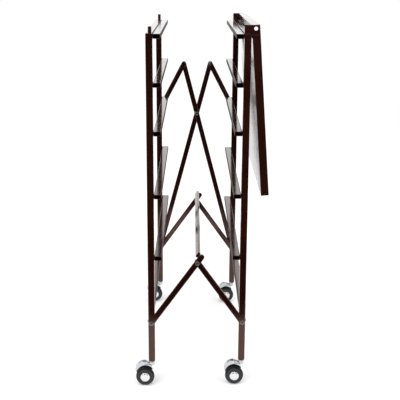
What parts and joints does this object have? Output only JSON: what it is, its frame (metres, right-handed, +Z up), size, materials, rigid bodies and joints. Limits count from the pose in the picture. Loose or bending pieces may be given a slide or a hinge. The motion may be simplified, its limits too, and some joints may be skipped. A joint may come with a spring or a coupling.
{
  "type": "folding clothes rack on casters",
  "caption": "Folding two-sided clothes drying rack on swivel casters, with tubular rungs, scissor braces and a hinged flat panel that swings up to form a top.",
  "frame": {"origin": "on the floor, at the centre of the footprint's bounding box", "axes": "+X from the left frame to the right frame that carries the panel, +Y along the rungs from the plain end to the scissor end, +Z up"},
  "size_m": [0.3796, 0.7084, 1.0429],
  "materials": {
    "enamel": "gloss dark brown stove enamel",
    "steel": "bright rivet steel",
    "chrome": "polished plate",
    "rubber": "matt moulded rubber"
  },
  "bodies": {
    "left_frame": {"left_post_near": "enamel", "left_post_far": "enamel", "left_top_rail": "enamel", "left_bottom_rail": "enamel", "left_rung_1": "enamel", "left_rung_2": "enamel", "left_rung_3": "enamel", "left_rung_4": "enamel", "left_rung_5": "enamel", "left_stub_near": "enamel", "left_stub_far": "enamel", "spreader_pin_left_near": "steel", "spreader_pin_left_far": "steel", "scissor_pin_left": "steel"},
    "spreader_left": {"spreader_left_bar_near": "enamel", "spreader_left_bar_far": "enamel", "spreader_crossbar": "enamel", "spreader_pin_centre_near": "steel", "spreader_pin_centre_far": "steel"},
    "spreader_right": {"spreader_right_bar_near": "enamel", "spreader_right_bar_far": "enamel"},
    "right_frame": {"right_post_near": "enamel", "right_post_far": "enamel", "right_top_rail": "enamel", "right_bottom_rail": "enamel", "right_rung_1": "enamel", "right_rung_2": "enamel", "right_rung_3": "enamel", "right_rung_4": "enamel", "right_rung_5": "enamel", "hinge_cheek_near": "enamel", "hinge_cheek_far": "enamel", "hinge_pin_near": "steel", "hinge_pin_far": "steel", "spreader_pin_right_near": "steel", "spreader_pin_right_far": "steel"},
    "scissor_back": {"long_bar_back": "enamel", "scissor_rivet": "steel", "apex_rivet_right": "steel"},
    "scissor_front": {"long_bar_front": "enamel", "scissor_spacer_right": "steel", "apex_rivet_left": "steel"},
    "link_left": {"link_left": "enamel", "link_rivet_left": "steel"},
    "link_right": {"link_right": "enamel", "link_spacer_right": "steel"},
    "top_panel": {"top_panel": "enamel"},
    "caster_left_near": {"caster_left_near_hood": "chrome"},
    "caster_left_near_wheel": {"caster_left_near_tyre": "rubber", "caster_left_near_hub": "chrome"},
    "caster_left_far": {"caster_left_far_hood": "chrome"},
    "caster_left_far_wheel": {"caster_left_far_tyre": "rubber", "caster_left_far_hub": "chrome"},
    "caster_right_near": {"caster_right_near_hood": "chrome"},
    "caster_right_near_wheel": {"caster_right_near_tyre": "rubber", "caster_right_near_hub": "chrome"},
    "caster_right_far": {"caster_right_far_hood": "chrome"},
    "caster_right_far_wheel": {"caster_right_far_tyre": "rubber", "caster_right_far_hub": "chrome"}
  },
  "joints": [
    {"name": "fold", "type": "hinge", "parent": "left_frame", "child": "spreader_left", "pos_m": [-0.1396, -0.3416, 0.199], "axis": [0, 1, 0], "range_deg": [-25.76, 35.12]},
    {"name": "spreader_centre", "type": "hinge", "parent": "spreader_left", "child": "spreader_right", "pos_m": [-0.0086, -0.3429, 0.383], "axis": [0, 1, 0], "range_deg": [-70.25, 51.55]},
    {"name": "spreader_right_foot", "type": "hinge", "parent": "spreader_right", "child": "right_frame", "pos_m": [0.1224, -0.3326, 0.199], "axis": [0, 1, 0], "range_deg": [-25.78, 35.14]},
    {"name": "scissor_foot", "type": "hinge", "parent": "left_frame", "child": "scissor_back", "pos_m": [-0.1396, 0.34405, 0.199], "axis": [0, 1, 0], "range_deg": [-8.65, 11.78]},
    {"name": "scissor_crossing", "type": "hinge", "parent": "scissor_back", "child": "scissor_front", "pos_m": [-0.0086, 0.3429, 0.6956], "axis": [0, 1, 0], "range_deg": [-23.55, 17.28]},
    {"name": "link_left_apex", "type": "hinge", "parent": "scissor_front", "child": "link_left", "pos_m": [-0.05445, 0.3353, 0.86941], "axis": [0, 1, 0], "range_deg": [-26.3, 35.84]},
    {"name": "link_right_apex", "type": "hinge", "parent": "scissor_back", "child": "link_right", "pos_m": [0.03725, 0.3429, 0.86941], "axis": [0, 1, 0], "range_deg": [-38.3, 28.1]},
    {"name": "panel_hinge", "type": "hinge", "parent": "right_frame", "child": "top_panel", "pos_m": [0.1431, -0.33, 1.0323], "axis": [0, -1, 0], "range_deg": [0, 265.6]},
    {"name": "caster_left_near_swivel", "type": "hinge", "parent": "left_frame", "child": "caster_left_near", "pos_m": [-0.1396, -0.3335, 0.07], "axis": [0, 0, 1], "continuous": true},
    {"name": "caster_left_near_roll", "type": "hinge", "parent": "caster_left_near", "child": "caster_left_near_wheel", "pos_m": [-0.1596, -0.3395, 0.027], "axis": [0, 1, 0], "continuous": true},
    {"name": "caster_left_far_swivel", "type": "hinge", "parent": "left_frame", "child": "caster_left_far", "pos_m": [-0.1396, 0.3155, 0.07], "axis": [0, 0, 1], "continuous": true},
    {"name": "caster_left_far_roll", "type": "hinge", "parent": "caster_left_far", "child": "caster_left_far_wheel", "pos_m": [-0.1596, 0.3095, 0.027], "axis": [0, 1, 0], "continuous": true},
    {"name": "caster_right_near_swivel", "type": "hinge", "parent": "right_frame", "child": "caster_right_near", "pos_m": [0.1224, -0.3245, 0.07], "axis": [0, 0, 1], "continuous": true},
    {"name": "caster_right_near_roll", "type": "hinge", "parent": "caster_right_near", "child": "caster_right_near_wheel", "pos_m": [0.1024, -0.3305, 0.027], "axis": [0, 1, 0], "continuous": true},
    {"name": "caster_right_far_swivel", "type": "hinge", "parent": "right_frame", "child": "caster_right_far", "pos_m": [0.1224, 0.3065, 0.07], "axis": [0, 0, 1], "continuous": true},
    {"name": "caster_right_far_roll", "type": "hinge", "parent": "caster_right_far", "child": "caster_right_far_wheel", "pos_m": [0.1024, 0.3005, 0.027], "axis": [0, 1, 0], "continuous": true}
  ],
  "couplings": [
    {"joint": "spreader_centre", "follows": "fold", "ratio": -2},
    {"joint": "spreader_right_foot", "follows": "fold", "ratio": 1},
    {"joint": "scissor_foot", "follows": "fold", "ratio": 0.335},
    {"joint": "scissor_crossing", "follows": "fold", "ratio": -0.67},
    {"joint": "link_left_apex", "follows": "fold", "ratio": 1.02},
    {"joint": "link_right_apex", "follows": "fold", "ratio": -1.09}
  ]
}
